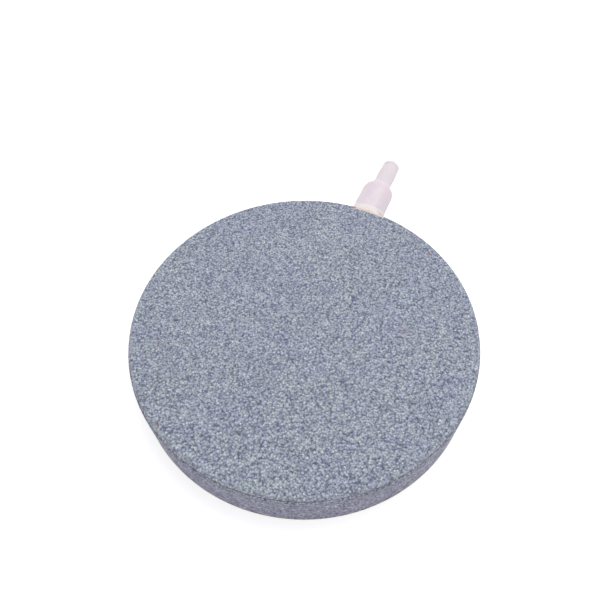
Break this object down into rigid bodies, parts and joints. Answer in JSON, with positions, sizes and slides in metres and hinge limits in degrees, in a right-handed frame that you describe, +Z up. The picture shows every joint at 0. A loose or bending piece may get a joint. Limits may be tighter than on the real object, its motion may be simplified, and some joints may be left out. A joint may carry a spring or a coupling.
{
  "type": "air stone",
  "caption": "Flat round porous stone diffuser with a soft bottle-shaped hose nozzle glued into its rim.",
  "frame": {"origin": "centre of the round underside, on the surface that the stone rests on", "axes": "+Z up through the disc, +Y out of the rim along the hose nozzle, +X to the right of it"},
  "size_m": [0.08, 0.1056, 0.013],
  "materials": {
    "grit_stone": "rough",
    "rim_sealer": "matte",
    "poured_resin": "gloss",
    "plate_glue": "satin",
    "bead_glue": "satin",
    "rigid_plastic": "satin",
    "soft_plastic": "satin"
  },
  "bodies": {
    "root": {"diffuser_plate": "grit_stone", "base_plate": "grit_stone", "rim_bond": "plate_glue", "post_bonds": "plate_glue", "rim_coat": "rim_sealer", "underside_seal": "poured_resin", "inlet_tube": "rigid_plastic", "hose_nozzle": "soft_plastic", "nozzle_glue": "bead_glue"}
  },
  "joints": []
}
